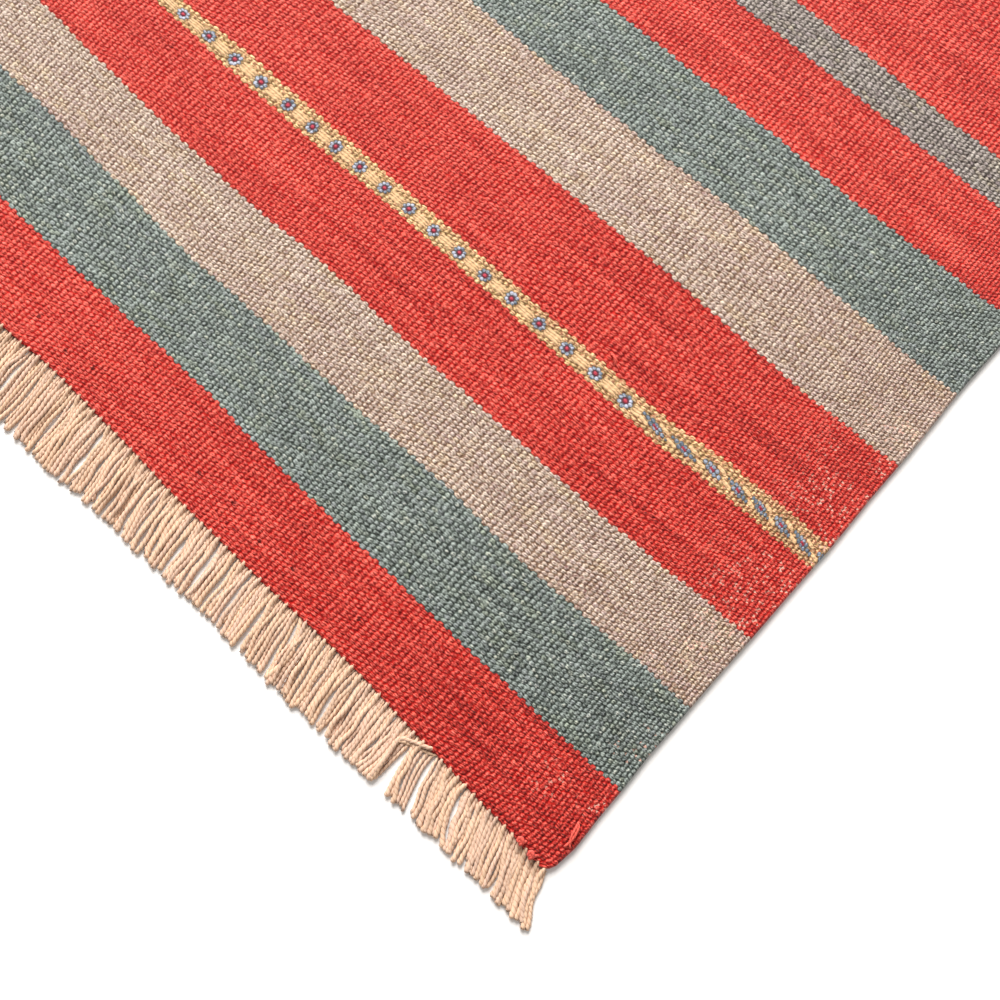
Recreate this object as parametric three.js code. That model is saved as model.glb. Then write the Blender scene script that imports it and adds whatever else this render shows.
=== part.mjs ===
// A flat-woven striped kilim lying flat: one weft-faced woven ground and a cut
// warp fringe along each end. Millimetres. X runs along the weft, Y along the
// warp, Z up, and the floor is Z = 0. The origin is the middle of the underside.
import * as THREE from 'three';

// ------------------------------------------------------------------- sizes
const WOVEN_WIDTH = 1000;     // selvedge to selvedge, mean
const WOVEN_LENGTH = 1500;    // first weft to last weft
const CLOTH_THICK = 2.6;      // wool weft packed over the cotton warp
const RIM_ROUND = 0.6;        // how far the cloth's rims are rounded
const CORNER_ROUND = 5;       // the last wefts turn in at each corner
const STATION = 25;           // spacing of the outline's sections

const CORD_THICK = 2.0;       // one plied warp cord of the fringe
const HEADING = 3;            // where the cords still lie shoulder to shoulder
const LOCK_WIDTH = 13.5;      // five cords at the 2.7 mm warp pitch of the ends
const LOCK_TAPER = 0.9;       // how much narrower on each side a lock ends
const FRINGE_LONGEST = 34;    // first weft to the longest cord's cut end
const FRINGE_REACH = 516;     // the outermost cords lean this far out
const TIP_UNEVEN = 0.9;       // how unevenly the cords were cut
const PIECE_GAP = 0.3;        // between the cloth and its fringe

// ------------------------------------------------------------------ tables
// How far each selvedge stands out from the mean width. The cloth spreads at
// its ends and is drawn in between them.
const SELVEDGE = [
  { along: 0, right: 6.0, left: 5.0 },
  { along: 12, right: 8.0, left: 7.0 },
  { along: 36, right: 6.5, left: 6.5 },
  { along: 75, right: 4.2, left: 4.5 },
  { along: 125, right: 3.2, left: 2.0 },
  { along: 190, right: 2.0, left: 1.5 },
  { along: 250, right: -0.5, left: -1.5 },
  { along: 325, right: -3.5, left: -3.0 },
  { along: 450, right: -6.0, left: -4.0 },
  { along: 600, right: -7.0, left: -6.5 },
  { along: 750, right: -6.0, left: -7.5 },
  { along: 925, right: -7.5, left: -6.0 },
  { along: 1100, right: -5.0, left: -5.5 },
  { along: 1250, right: -1.0, left: -2.5 },
  { along: 1375, right: 2.5, left: 1.5 },
  { along: 1450, right: 5.0, left: 5.5 },
  { along: 1488, right: 7.0, left: 8.0 },
  { along: 1500, right: 5.0, left: 6.0 },
];

// How far the first and last wefts bow out from the mean length.
const END_BOW = [
  { across: -515, near: 2.0, far: 2.5 },
  { across: -470, near: 1.0, far: 0.5 },
  { across: -380, near: -1.2, far: -0.8 },
  { across: -250, near: 0.6, far: 0.9 },
  { across: -120, near: -0.9, far: -1.4 },
  { across: 0, near: 0.9, far: 0.2 },
  { across: 120, near: 0.2, far: -0.6 },
  { across: 165, near: -2.0, far: 0.4 },
  { across: 210, near: -1.4, far: 1.0 },
  { across: 262, near: 0.0, far: -0.5 },
  { across: 310, near: -0.2, far: -1.2 },
  { across: 375, near: -1.8, far: 0.0 },
  { across: 430, near: -0.2, far: 0.8 },
  { across: 470, near: 1.0, far: 0.6 },
  { across: 515, near: 2.8, far: 2.2 },
];

// Where each stretch of fringe is cut, measured out from the mean length, and
// how far its cords lean towards +X between root and cut end.
const FRINGE = [
  { across: -515, nearCut: 27, nearLean: -9, farCut: 30, farLean: -10 },
  { across: -440, nearCut: 29, nearLean: -2, farCut: 31, farLean: -5 },
  { across: -330, nearCut: 32, nearLean: 4, farCut: 29, farLean: -2 },
  { across: -240, nearCut: 33, nearLean: 2, farCut: 31, farLean: 3 },
  { across: -140, nearCut: 31, nearLean: 5, farCut: 36, farLean: 1 },
  { across: -60, nearCut: 32, nearLean: 3, farCut: 33, farLean: -4 },
  { across: 40, nearCut: 33, nearLean: 6, farCut: 30, farLean: -3 },
  { across: 120, nearCut: 36, nearLean: 7, farCut: 31, farLean: 2 },
  { across: 180, nearCut: 34, nearLean: 7, farCut: 32, farLean: 4 },
  { across: 250, nearCut: 31, nearLean: 8, farCut: 31, farLean: 2 },
  { across: 300, nearCut: 29.5, nearLean: 5, farCut: 30, farLean: -1 },
  { across: 350, nearCut: 30, nearLean: 9, farCut: 31, farLean: 0 },
  { across: 397, nearCut: 29.5, nearLean: 2, farCut: 32, farLean: 3 },
  { across: 412, nearCut: 29, nearLean: 0, farCut: 32, farLean: 3 },
  { across: 422, nearCut: 28.5, nearLean: 13, farCut: 32, farLean: 4 },
  { across: 460, nearCut: 27, nearLean: 11, farCut: 30, farLean: 5 },
  { across: 495, nearCut: 26, nearLean: 11, farCut: 28, farLean: 8 },
  { across: 515, nearCut: 25.5, nearLean: 12, farCut: 27, farLean: 9 },
];

// --------------------------------------------------------------- functions
// A soft curve through one column of a table.
function read(table, place, column, at) {
  const first = table[0];
  const last = table[table.length - 1];
  if (at <= first[place]) return first[column];
  if (at >= last[place]) return last[column];
  const i = table.findIndex((row) => row[place] > at);
  const a = table[i - 1];
  const b = table[i];
  const t = (at - a[place]) / (b[place] - a[place]);
  const eased = (1 - Math.cos(Math.PI * t)) / 2;
  return a[column] + (b[column] - a[column]) * eased;
}

const selvedgeX = (side, y) => {
  const out = read(SELVEDGE, 'along', side > 0 ? 'right' : 'left', y + WOVEN_LENGTH / 2);
  return side * (WOVEN_WIDTH / 2 + out);
};
const endY = (end, x) => {
  const out = read(END_BOW, 'across', end > 0 ? 'far' : 'near', x);
  return end * (WOVEN_LENGTH / 2 + out);
};

// Even steps from a to b, both included.
function steps(a, b, spacing) {
  const count = Math.max(1, Math.round(Math.abs(b - a) / spacing));
  return Array.from({ length: count + 1 }, (_, i) => a + ((b - a) * i) / count);
}

// Seeded unevenness between -1 and 1.
function unevenness(seed) {
  let s = seed;
  return () => {
    s = (s * 48271) % 2147483647;
    return (2 * s) / 2147483647 - 1;
  };
}

// Quarter turn from one edge of the cloth to the next.
function corner(sideX, sideEnd) {
  const x = selvedgeX(sideX, sideEnd * (WOVEN_LENGTH / 2 - CORNER_ROUND));
  const y = endY(sideEnd, x);
  const turn = [0, 0.25, 0.5, 0.75, 1].map((t) => {
    const a = (t * Math.PI) / 2;
    return new THREE.Vector2(
      x - sideX * CORNER_ROUND * (1 - Math.sin(a)),
      y - sideEnd * CORNER_ROUND * (1 - Math.cos(a)),
    );
  });
  return turn; // from the end towards the selvedge
}

// ------------------------------------------------------------ woven ground
function groundOutline() {
  const points = [];
  const insideX = (side, end) =>
    selvedgeX(side, end * (WOVEN_LENGTH / 2 - CORNER_ROUND)) - side * CORNER_ROUND;
  const insideY = (side, end) =>
    endY(end, selvedgeX(side, end * (WOVEN_LENGTH / 2))) - end * CORNER_ROUND;

  // near end, towards +X
  steps(insideX(-1, -1), insideX(1, -1), STATION).slice(1, -1)
    .forEach((x) => points.push(new THREE.Vector2(x, endY(-1, x))));
  points.push(...corner(1, -1));
  // right selvedge, away
  steps(insideY(1, -1), insideY(1, 1), STATION).slice(1, -1)
    .forEach((y) => points.push(new THREE.Vector2(selvedgeX(1, y), y)));
  points.push(...corner(1, 1).reverse());
  // far end, back towards -X
  steps(insideX(1, 1), insideX(-1, 1), STATION).slice(1, -1)
    .forEach((x) => points.push(new THREE.Vector2(x, endY(1, x))));
  points.push(...corner(-1, 1));
  // left selvedge, back
  steps(insideY(-1, 1), insideY(-1, -1), STATION).slice(1, -1)
    .forEach((y) => points.push(new THREE.Vector2(selvedgeX(-1, y), y)));
  points.push(...corner(-1, -1).reverse());
  return points;
}

function groundGeometry() {
  const geometry = new THREE.ExtrudeGeometry(new THREE.Shape(groundOutline()), {
    depth: CLOTH_THICK - 2 * RIM_ROUND,
    bevelEnabled: true,
    bevelThickness: RIM_ROUND,
    bevelSize: RIM_ROUND,
    bevelOffset: -RIM_ROUND,
    bevelSegments: 2,
    steps: 1,
  });
  geometry.translate(0, 0, RIM_ROUND);
  return geometry;
}

// ------------------------------------------------------------------ fringe
// One comb: a heading along the cloth's end and a tooth for each lock of cords.
function fringeOutline(end, seed) {
  const cut = end > 0 ? 'farCut' : 'nearCut';
  const lean = end > 0 ? 'farLean' : 'nearLean';
  const uneven = unevenness(seed);
  const left = selvedgeX(-1, end * (WOVEN_LENGTH / 2)) + 1;
  const right = selvedgeX(1, end * (WOVEN_LENGTH / 2)) - 1;
  const roots = steps(left, right, LOCK_WIDTH);
  const rootY = (x) => endY(end, x) + end * PIECE_GAP;
  const leanAt = (x) => read(FRINGE, 'across', lean, x);
  const cutAt = (x) => {
    const out = read(FRINGE, 'across', cut, x) + TIP_UNEVEN * uneven();
    return end * (WOVEN_LENGTH / 2 + Math.min(FRINGE_LONGEST, out));
  };

  const points = [];
  // along the cloth, from -X to +X
  steps(left, right, STATION / 2).forEach((x) => points.push(new THREE.Vector2(x, rootY(x))));
  // back along the cut ends
  for (let i = roots.length - 1; i > 0; i -= 1) {
    const a = roots[i];
    const b = roots[i - 1];
    const outermost = i === roots.length - 1;
    const innermost = i === 1;
    const aTip = outermost ? FRINGE_REACH : a + leanAt(a - 1) - LOCK_TAPER;
    const bTip = innermost ? -FRINGE_REACH : b + leanAt(b + 1) + LOCK_TAPER;
    if (outermost) points.push(new THREE.Vector2(a, rootY(a) + end * HEADING));
    points.push(new THREE.Vector2(aTip, cutAt(a)));
    points.push(new THREE.Vector2((aTip + bTip) / 2, cutAt((a + b) / 2)));
    points.push(new THREE.Vector2(bTip, cutAt(b)));
    points.push(new THREE.Vector2(b, rootY(b) + end * HEADING));
  }
  return points;
}

function fringeGeometry(end, seed) {
  return new THREE.ExtrudeGeometry(new THREE.Shape(fringeOutline(end, seed)), {
    depth: CORD_THICK,
    bevelEnabled: false,
    steps: 1,
  });
}

// ------------------------------------------------------------------- parts
const wool = new THREE.MeshStandardMaterial({ color: 0xc4473d, roughness: 0.92, metalness: 0 });
const cottonNear = new THREE.MeshStandardMaterial({ color: 0xe3c6a8, roughness: 0.9, metalness: 0 });
const cottonFar = cottonNear.clone();

function piece(name, geometry, material) {
  const mesh = new THREE.Mesh(geometry, material);
  mesh.name = name;
  return mesh;
}

const kilim = new THREE.Group();
kilim.name = 'striped_kilim';
kilim.add(
  piece('woven_ground', groundGeometry(), wool),
  piece('fringe_near_end', fringeGeometry(-1, 2027), cottonNear),
  piece('fringe_far_end', fringeGeometry(1, 911), cottonFar),
);

export default kilim;
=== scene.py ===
import math

import bpy
import numpy as np
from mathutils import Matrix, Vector


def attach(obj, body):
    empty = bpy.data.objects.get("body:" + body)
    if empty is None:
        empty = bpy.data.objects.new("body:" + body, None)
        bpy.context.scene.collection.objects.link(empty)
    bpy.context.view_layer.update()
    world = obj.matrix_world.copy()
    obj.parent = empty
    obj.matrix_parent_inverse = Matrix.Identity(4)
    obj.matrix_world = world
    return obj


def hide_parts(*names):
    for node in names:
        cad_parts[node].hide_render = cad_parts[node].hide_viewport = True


# A weft-faced striped kilim lying flat. Everything is worked out in millimetres and made in metres.
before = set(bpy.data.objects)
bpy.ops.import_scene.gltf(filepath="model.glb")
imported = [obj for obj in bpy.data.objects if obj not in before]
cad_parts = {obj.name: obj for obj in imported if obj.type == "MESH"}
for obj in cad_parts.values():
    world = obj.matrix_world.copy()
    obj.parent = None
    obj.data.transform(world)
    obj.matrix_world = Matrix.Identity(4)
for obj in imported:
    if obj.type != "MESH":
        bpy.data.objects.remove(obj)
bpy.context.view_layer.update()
MM = 0.001

# ---------------------------------------------------------------- sizes (as in the CAD)
WOVEN_LENGTH = 1500.0
CLOTH_THICK = 2.6
CORNER_ROUND = 5.0
PANELS = 15               # the cloth is made in this many strips of 100 mm
ROWS = 6                  # stations along Y in a strip
RIB = 0.38                # height of a warp rib
LIFT = 0.7                # how far the cloth lifts off the floor in its slack places
CORD_RADIUS = 1.18
UNDER_RADIUS = 1.08       # the second warp of a rib, which lies under the first
PLY_TURN = 5.2            # one full turn of the two plies

SELVEDGE = {
    "along": [0, 12, 36, 75, 125, 190, 250, 325, 450, 600, 750, 925, 1100, 1250, 1375, 1450, 1488, 1500],
    "right": [6.0, 8.0, 6.5, 4.2, 3.2, 2.0, -0.5, -3.5, -6.0, -7.0, -6.0, -7.5, -5.0, -1.0, 2.5, 5.0, 7.0, 5.0],
    "left": [5.0, 7.0, 6.5, 4.5, 2.0, 1.5, -1.5, -3.0, -4.0, -6.5, -7.5, -6.0, -5.5, -2.5, 1.5, 5.5, 8.0, 6.0],
}
END_BOW = {
    "across": [-515, -470, -380, -250, -120, 0, 120, 165, 210, 262, 310, 375, 430, 470, 515],
    "near": [2.0, 1.0, -1.2, 0.6, -0.9, 0.9, 0.2, -2.0, -1.4, 0.0, -0.2, -1.8, -0.2, 1.0, 2.8],
    "far": [2.5, 0.5, -0.8, 0.9, -1.4, 0.2, -0.6, 0.4, 1.0, -0.5, -1.2, 0.0, 0.8, 0.6, 2.2],
}
FRINGE = {
    "across": [-515, -440, -330, -240, -140, -60, 40, 120, 180, 250, 300, 350, 397, 412, 422, 460, 495, 515],
    "near_cut": [27, 29, 32, 33, 31, 32, 33, 36, 34, 31, 29.5, 30, 29.5, 29, 28.5, 27, 26, 25.5],
    "near_lean": [-9, -2, 4, 2, 5, 3, 6, 7, 7, 8, 5, 8, 5, 6, 8.5, 10, 11, 12],
    "far_cut": [30, 31, 29, 31, 36, 33, 30, 31, 32, 31, 30, 31, 32, 32, 32, 30, 28, 27],
    "far_lean": [-10, -5, -2, 3, 1, -4, -3, 2, 4, 2, -1, 0, 3, 3, 4, 5, 8, 9],
}
# Warp pitch across the cloth: the warps crowd towards the selvedges.
PITCH = {
    "across": [-500, -475, -440, -380, -250, -100, 0, 60, 135, 170, 240, 290, 330, 375, 410, 440, 470, 500],
    "pitch": [2.15, 2.35, 2.7, 2.95, 3.05, 3.0, 3.1, 3.3, 3.25, 2.92, 3.02, 3.08, 3.17, 3.12, 2.95, 2.68, 2.35, 2.15],
}
# How far the warps lean towards -X for each millimetre of Y, at each end and between them.
LEAN = {
    "across": [-500, -420, -300, -150, 40, 160, 260, 340, 400, 450, 500],
    "near": [0.0, 0.02, 0.05, 0.09, 0.15, 0.11, 0.075, 0.02, -0.03, -0.03, 0.0],
    "inner": [0.0, -0.02, -0.03, 0.01, 0.05, 0.05, 0.05, 0.05, 0.035, 0.02, 0.0],
    "far": [0.0, -0.03, -0.05, -0.02, 0.03, 0.05, 0.02, -0.04, -0.05, -0.03, 0.0],
}
# Bands from the near end to the middle: wool, where the band ends (mean Y), and its wefts.
BANDS = [
    ("red", -704.5, 40), ("teal", -655.0, 41), ("beige", -613.0, 38), ("red", -566.0, 42),
    ("figured", -553.0, 11), ("red", -496.0, 50), ("beige", -444.0, 43), ("teal", -393.0, 41),
    ("red", -342.0, 41), ("grey", -317.0, 20), ("red", -229.0, 70), ("grey", -205.0, 19),
    ("red", -155.0, 40), ("teal", -105.0, 40), ("beige", -59.0, 37), ("red", -6.5, 42),
    ("figured", 6.5, 11),
]
# How each of the first band edges wanders in Y across the width.
EDGE_WANDER = {
    "across": [-505, -400, -300, -200, -100, -20, 45, 100, 160, 220, 280, 340, 400, 440, 480, 505],
    1: [0.5, -1.2, 1.4, 0.2, -1.0, -0.4, 0.3, 0.6, 1.2, 2.0, -0.6, -1.5, -1.4, -0.5, -0.2, 0.8],
    2: [1.0, -1.5, 0.8, 1.6, 2.6, 3.5, 3.0, 0.5, -3.0, -2.0, -2.0, 0.2, -1.9, -0.8, 1.0, 1.0],
    3: [1.0, -0.8, 1.2, 0.4, 2.2, 3.6, 0.4, -1.6, -2.4, 0.1, -1.6, -0.8, -1.2, 0.2, 2.4, 3.4],
    4: [0.8, -1.0, 0.6, -0.5, 0.8, 1.2, 1.4, -1.0, -0.9, 0.5, 0.0, -0.8, -1.9, 0.1, 1.0, 1.4],
    5: [0.2, -0.8, 0.6, -0.6, -0.2, -0.8, -1.8, 0.8, 0.0, -0.2, -0.6, -1.4, -1.4, 2.2, 3.8, 3.6],
    6: [-0.5, 1.0, -1.2, 0.8, -0.6, -1.0, -1.4, -2.0, -0.8, 0.0, 1.6, 1.8, 0.2, -1.0, 0.0, 2.2],
    9: [0.6, -0.8, 0.5, 1.0, -0.4, 0.2, 0.4, 0.0, 0.3, -0.3, 0.2, -0.4, -2.4, -3.0, -3.0, -2.6],
    10: [0.4, 0.8, -0.7, 0.5, 0.2, -0.3, 0.4, 0.2, -0.5, -0.6, -1.2, -2.2, -3.8, -4.0, -3.8, -3.4],
}


def soft(table, column, at, place=None):
    """A soft curve through one column of a table."""
    place = place or ("along" if "along" in table else "across")
    xs, ys = np.asarray(table[place], float), np.asarray(table[column], float)
    at = np.clip(np.asarray(at, float), xs[0], xs[-1])
    i = np.clip(np.searchsorted(xs, at, side="right") - 1, 0, len(xs) - 2)
    t = (at - xs[i]) / (xs[i + 1] - xs[i])
    return ys[i] + (ys[i + 1] - ys[i]) * (1 - np.cos(np.pi * t)) / 2


def wander(seed, at, size, waves=((430, 0.5), (210, 0.35), (95, 0.15))):
    """Slow seeded unevenness along one direction."""
    rng = np.random.default_rng(seed)
    out = np.zeros_like(np.asarray(at, float))
    for length, share in waves:
        out += share * np.sin(2 * np.pi * (at / (length * rng.uniform(0.85, 1.15)) + rng.random()))
    return size * out


def swell(seed, x, y, waves=((310, 240), (170, 200), (120, 95))):
    """Slow seeded unevenness over the cloth, about -1 to 1."""
    rng = np.random.default_rng(seed)
    out = 0.0
    for lx, ly in waves:
        a, b = rng.random(2)
        out = out + np.sin(2 * np.pi * (x / lx + 0.3 * np.sin(y / ly) + a)) * np.sin(2 * np.pi * (y / ly + b))
    return out / len(waves)


def smooth(a, b, x):
    t = np.clip((np.asarray(x, float) - a) / (b - a), 0, 1)
    return t * t * (3 - 2 * t)


# ---------------------------------------------------------------- where each warp and weft lies
def warp_places():
    """The mean X of each quarter of a warp rib. The number of ribs is a multiple of three."""
    xs = np.linspace(-500, 500, 4001)
    density = 1 / np.interp(xs, PITCH["across"], PITCH["pitch"])
    total = np.concatenate([[0], np.cumsum((density[1:] + density[:-1]) / 2 * np.diff(xs))])
    ribs = int(3 * round(total[-1] / 3))
    quarters = np.linspace(0, ribs, 4 * ribs + 1)
    return ribs, quarters, np.interp(quarters, total * ribs / total[-1], xs)


RIBS, QUARTERS, MEAN_X = warp_places()


def selvedge_out(side, y):
    return soft(SELVEDGE, "right" if side > 0 else "left", y + WOVEN_LENGTH / 2)


def lean_shift(x, y):
    """How far a warp has shifted towards -X at y."""
    near, inner, far = (soft(LEAN, k, x) for k in ("near", "inner", "far"))
    a = 70 * np.tanh((y + 650) / 70)
    b = 160 * np.tanh((y + 330) / 160)
    c = 90 * np.tanh((y - 600) / 90)
    return near * (a + 70) + inner * (b + 160) - 0.5 * inner * 320 + far * c


def lay_x(mean, y):
    """Where a warp of that mean X lies at y."""
    side = np.where(mean > 0, 1.0, -1.0)
    ramp = smooth(230, 500, np.abs(mean))
    out = np.where(mean > 0, selvedge_out(1, y), selvedge_out(-1, y))
    x = mean + side * out * ramp - lean_shift(mean, y) * (1 - smooth(430, 500, np.abs(mean)))
    x = x + 0.5 * swell(5, mean, y, ((47, 130), (61, 210))) * (1 - smooth(450, 497, np.abs(mean)))
    d = np.clip(WOVEN_LENGTH / 2 - np.abs(y), 0, CORNER_ROUND)
    turn = CORNER_ROUND * (1 - np.sqrt(np.clip(1 - (1 - d / CORNER_ROUND) ** 2, 0, 1)))
    return x - side * turn * smooth(484, 500, np.abs(mean))


EDGES = [-750.0] + [b[1] for b in BANDS] + [-b[1] for b in BANDS[-3::-1]] + [750.0]
COUNTS = [b[2] for b in BANDS] + [b[2] for b in BANDS[-2::-1]]
WOOLS = [b[0] for b in BANDS] + [b[0] for b in BANDS[-2::-1]]
WEFT_AT = np.concatenate([[0], np.cumsum(COUNTS)])
WEFTS = int(WEFT_AT[-1])


def edge_y(i, x):
    """The Y of band edge i across the cloth."""
    if i == 0:
        return -750.0 - soft(END_BOW, "near", x)
    if i == len(EDGES) - 1:
        return 750.0 + soft(END_BOW, "far", x)
    if i in EDGE_WANDER:
        return EDGES[i] + soft(EDGE_WANDER, i, x) + wander(40 + i, x, 0.35, ((37, 0.6), (19, 0.4)))
    return EDGES[i] + wander(70 + i, x, 1.9) + wander(140 + i, x, 0.35, ((37, 0.6), (19, 0.4)))


def weft_number(x, y):
    """Which weft lies at each x, y: counted from the near end, along the wandering band edges."""
    ys = np.stack([edge_y(i, x) for i in range(len(EDGES))])
    i = np.clip((ys <= y).sum(0) - 1, 0, len(EDGES) - 2)
    low = np.take_along_axis(ys, i[None], 0)[0]
    high = np.take_along_axis(ys, i[None] + 1, 0)[0]
    t = (y - low) / (high - low)
    w = WEFT_AT[i] + (WEFT_AT[i + 1] - WEFT_AT[i]) * t
    inside = np.clip(np.minimum(y - low, high - y) / 8, 0, 1)
    return w + inside * 0.45 * swell(9, x, y, ((53, 41), (38, 57), (90, 33)))


# ---------------------------------------------------------------- node helpers
class Tree:
    """Short names for the shader nodes used below."""

    def __init__(self, name):
        self.material = bpy.data.materials.new(name)
        self.material.use_nodes = True
        self.nodes, self.links = self.material.node_tree.nodes, self.material.node_tree.links
        self.nodes.clear()

    def put(self, socket, value):
        if isinstance(value, bpy.types.NodeSocket):
            self.links.new(value, socket)
        elif value is not None:
            socket.default_value = value

    def m(self, op, a, b=None, c=None, clamp=False):
        n = self.nodes.new("ShaderNodeMath")
        n.operation, n.use_clamp = op, clamp
        for s, v in zip(n.inputs, (a, b, c)):
            self.put(s, v)
        return n.outputs[0]

    def add(self, a, b): return self.m("ADD", a, b)
    def sub(self, a, b): return self.m("SUBTRACT", a, b)
    def mul(self, a, b): return self.m("MULTIPLY", a, b)
    def mad(self, a, b, c): return self.m("MULTIPLY_ADD", a, b, c)

    def mixf(self, t, a, b):
        n = self.nodes.new("ShaderNodeMix")
        n.data_type, n.clamp_factor = "FLOAT", True
        self.put(n.inputs[0], t), self.put(n.inputs[2], a), self.put(n.inputs[3], b)
        return n.outputs[0]

    def mixc(self, t, a, b, blend="MIX"):
        n = self.nodes.new("ShaderNodeMix")
        n.data_type, n.blend_type, n.clamp_factor = "RGBA", blend, True
        for s, v in ((n.inputs[0], t), (n.inputs[6], a), (n.inputs[7], b)):
            if isinstance(v, tuple) and len(v) == 3:
                v = (*v, 1.0)
            self.put(s, v)
        return n.outputs[2]

    def ramp(self, x, a, b, lo=0.0, hi=1.0, kind="SMOOTHSTEP"):
        n = self.nodes.new("ShaderNodeMapRange")
        n.interpolation_type, n.clamp = kind, True
        for s, v in zip(n.inputs, (x, a, b, lo, hi)):
            self.put(s, v)
        return n.outputs[0]

    def xyz(self, x, y, z=0.0):
        n = self.nodes.new("ShaderNodeCombineXYZ")
        for s, v in zip(n.inputs, (x, y, z)):
            self.put(s, v)
        return n.outputs[0]

    def split(self, v):
        n = self.nodes.new("ShaderNodeSeparateXYZ")
        self.put(n.inputs[0], v)
        return n.outputs

    def scatter(self, v):
        """Three random numbers for each cell."""
        n = self.nodes.new("ShaderNodeTexWhiteNoise")
        n.noise_dimensions = "2D"
        self.put(n.inputs["Vector"], v)
        s = self.nodes.new("ShaderNodeSeparateColor")
        self.links.new(n.outputs["Color"], s.inputs[0])
        return s.outputs

    def noise(self, v, detail=2.0, rough=0.5):
        n = self.nodes.new("ShaderNodeTexNoise")
        n.noise_dimensions = "2D"
        self.put(n.inputs["Vector"], v)
        n.inputs["Scale"].default_value = 1.0
        n.inputs["Detail"].default_value = detail
        n.inputs["Roughness"].default_value = rough
        return n.outputs["Fac"]

    def noise_rgb(self, v, detail=1.0, rough=0.5):
        n = self.noise(v, detail, rough).node
        s = self.nodes.new("ShaderNodeSeparateColor")
        self.links.new(n.outputs["Color"], s.inputs[0])
        return s.outputs

    def scale(self, color, value):
        n = self.nodes.new("ShaderNodeVectorMath")
        n.operation = "SCALE"
        self.put(n.inputs[0], color), self.put(n.inputs["Scale"], value)
        return n.outputs[0]

    def times(self, a, b):
        n = self.nodes.new("ShaderNodeVectorMath")
        n.operation = "MULTIPLY"
        self.put(n.inputs[0], a), self.put(n.inputs[1], b)
        return n.outputs[0]

    def uv(self, name):
        n = self.nodes.new("ShaderNodeUVMap")
        n.uv_map = name
        return n.outputs[0]

    def bump(self, height, distance, strength=1.0):
        n = self.nodes.new("ShaderNodeBump")
        n.inputs["Strength"].default_value = strength
        n.inputs["Distance"].default_value = distance
        self.put(n.inputs["Height"], height)
        return n.outputs[0]

    def finish(self, color, normal, roughness, sheen, sheen_tint=(1, 1, 1, 1), specular=0.25):
        p = self.nodes.new("ShaderNodeBsdfPrincipled")
        p.inputs["Roughness"].default_value = roughness
        p.inputs["Specular IOR Level"].default_value = specular
        p.inputs["Sheen Weight"].default_value = sheen
        p.inputs["Sheen Roughness"].default_value = 0.5
        p.inputs["Sheen Tint"].default_value = sheen_tint
        self.put(p.inputs["Base Color"], color)
        if normal is not None:
            self.put(p.inputs["Normal"], normal)
        out = self.nodes.new("ShaderNodeOutputMaterial")
        self.links.new(p.outputs[0], out.inputs[0])
        return self.material


def tone(r, g, b, gain=1.0):
    """An sRGB colour as linear numbers."""
    return tuple(gain * ((v / 255 / 12.92) if v <= 10 else ((v / 255 + 0.055) / 1.055) ** 2.4) for v in (r, g, b))


# Each wool: its colour, the painted shade that its gaps between beads are multiplied by, the painted
# highlight on the crests of its beads, and how strongly it varies from bead to bead, along the weft, and from place to
# place.
WOOL = {
    "red": dict(color=tone(215, 80, 66), gap_shade=(0.60, 0.045, 0.025), crest_highlight=(1.05, 1.66, 1.90), bead=0.24, streak=0.60, tint=0.30),
    "teal": dict(color=tone(138, 146, 139), gap_shade=(0.26, 0.28, 0.26), crest_highlight=(1.20, 1.18, 1.20), bead=0.48, streak=0.42, tint=0.50),
    "beige": dict(color=tone(204, 182, 165), gap_shade=(0.43, 0.34, 0.27), crest_highlight=(0.99, 1.01, 1.04), bead=0.26, streak=0.30, tint=0.55),
    "grey": dict(color=tone(156, 145, 137), gap_shade=(0.28, 0.26, 0.24), crest_highlight=(1.22, 1.21, 1.23), bead=0.48, streak=0.46, tint=0.60),
    "figured": dict(color=tone(230, 184, 135), gap_shade=(0.46, 0.44, 0.34), crest_highlight=(1.04, 1.10, 1.20), bead=0.26, streak=0.10, tint=0.30),
}
GAIN = 0.94


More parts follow.
